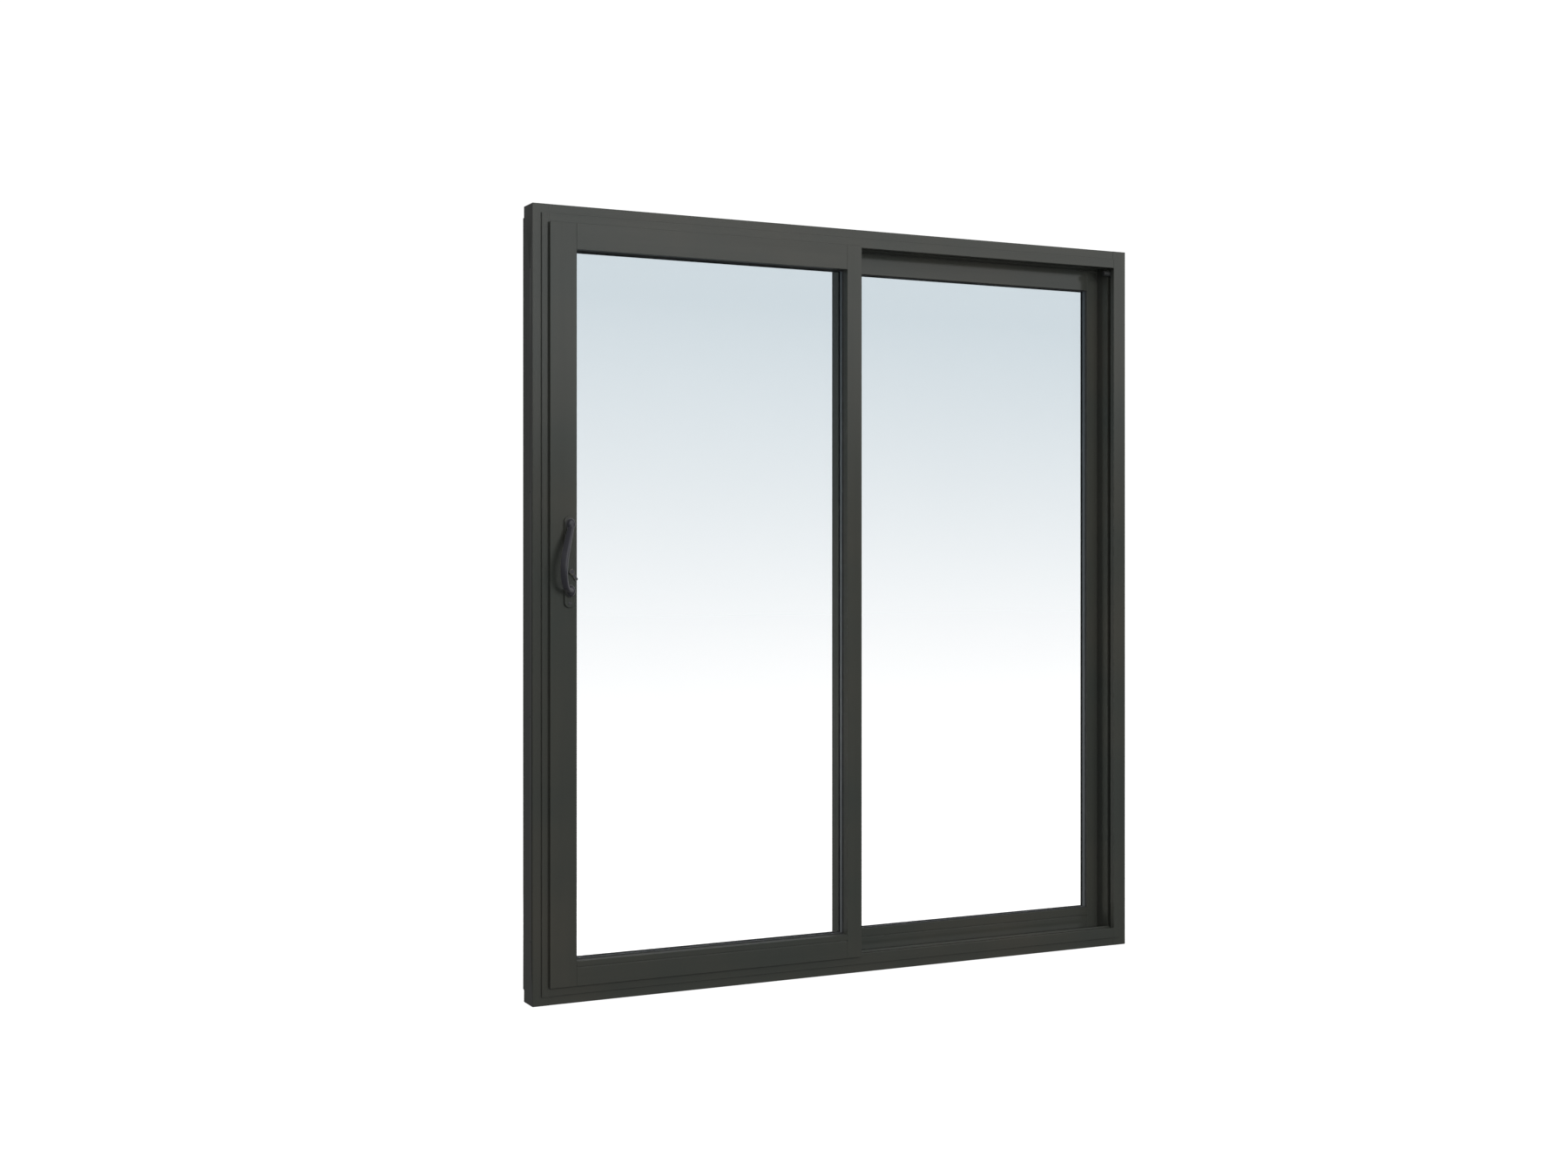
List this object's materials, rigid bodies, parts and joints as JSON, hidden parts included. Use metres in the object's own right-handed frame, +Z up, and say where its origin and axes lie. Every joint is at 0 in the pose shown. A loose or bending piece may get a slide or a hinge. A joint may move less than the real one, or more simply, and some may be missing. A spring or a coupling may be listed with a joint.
{
  "type": "sliding patio door",
  "caption": "Sliding patio door unit: dark bronze frame, a glazed panel that slides along its face and a glazed panel fixed behind it, with a bow grip and thumb latch.",
  "frame": {"origin": "centre of the sill's underside, midway across the door and midway through the full-size front part of the frame", "axes": "+X across the door from the lock jamb to the fixed jamb, +Y from the room side to the outside, +Z up"},
  "size_m": [1.816, 0.1973, 2.019],
  "materials": {
    "bronze_profile": "satin",
    "glass": "polished",
    "rubber": "matte",
    "spacer": "matte",
    "steel": "satin",
    "nylon": "satin",
    "handle_metal": "satin"
  },
  "bodies": {
    "frame": {"sill": "bronze_profile", "head": "bronze_profile", "lock_jamb": "bronze_profile", "fixed_jamb": "bronze_profile", "sill_track": "bronze_profile", "keeper": "steel", "open_bumper": "rubber", "fixed_meeting_stile": "bronze_profile", "fixed_jamb_stile": "bronze_profile", "fixed_top_rail": "bronze_profile", "fixed_bottom_rail": "bronze_profile", "fixed_inner_pane": "glass", "fixed_outer_pane": "glass", "fixed_spacer": "spacer", "fixed_inner_gasket": "rubber", "fixed_outer_gasket": "rubber"},
    "sliding_panel": {"slider_lock_stile": "bronze_profile", "slider_meeting_stile": "bronze_profile", "slider_top_rail": "bronze_profile", "slider_bottom_rail": "bronze_profile", "slider_inner_pane": "glass", "slider_outer_pane": "glass", "slider_spacer": "spacer", "slider_inner_gasket": "rubber", "slider_outer_gasket": "rubber", "slider_interlock": "bronze_profile", "interlock_pile": "rubber", "lock_side_roller_housing": "steel", "lock_side_roller": "nylon", "meeting_side_roller_housing": "steel", "meeting_side_roller": "nylon", "lock_side_top_guide": "nylon", "meeting_side_top_guide": "nylon", "lock_faceplate": "steel", "inside_handle_plate": "bronze_profile", "inside_grip": "handle_metal", "outside_pull": "handle_metal"},
    "latch": {"thumb_latch": "handle_metal"}
  },
  "joints": [
    {"name": "panel_slide", "type": "slide", "parent": "frame", "child": "sliding_panel", "axis": [1, 0, 0], "range_m": [0, 0.815]},
    {"name": "latch_turn", "type": "hinge", "parent": "sliding_panel", "child": "latch", "pos_m": [-0.814, -0.06, 1.092], "axis": [0, 1, 0], "range_deg": [0, 60]}
  ]
}
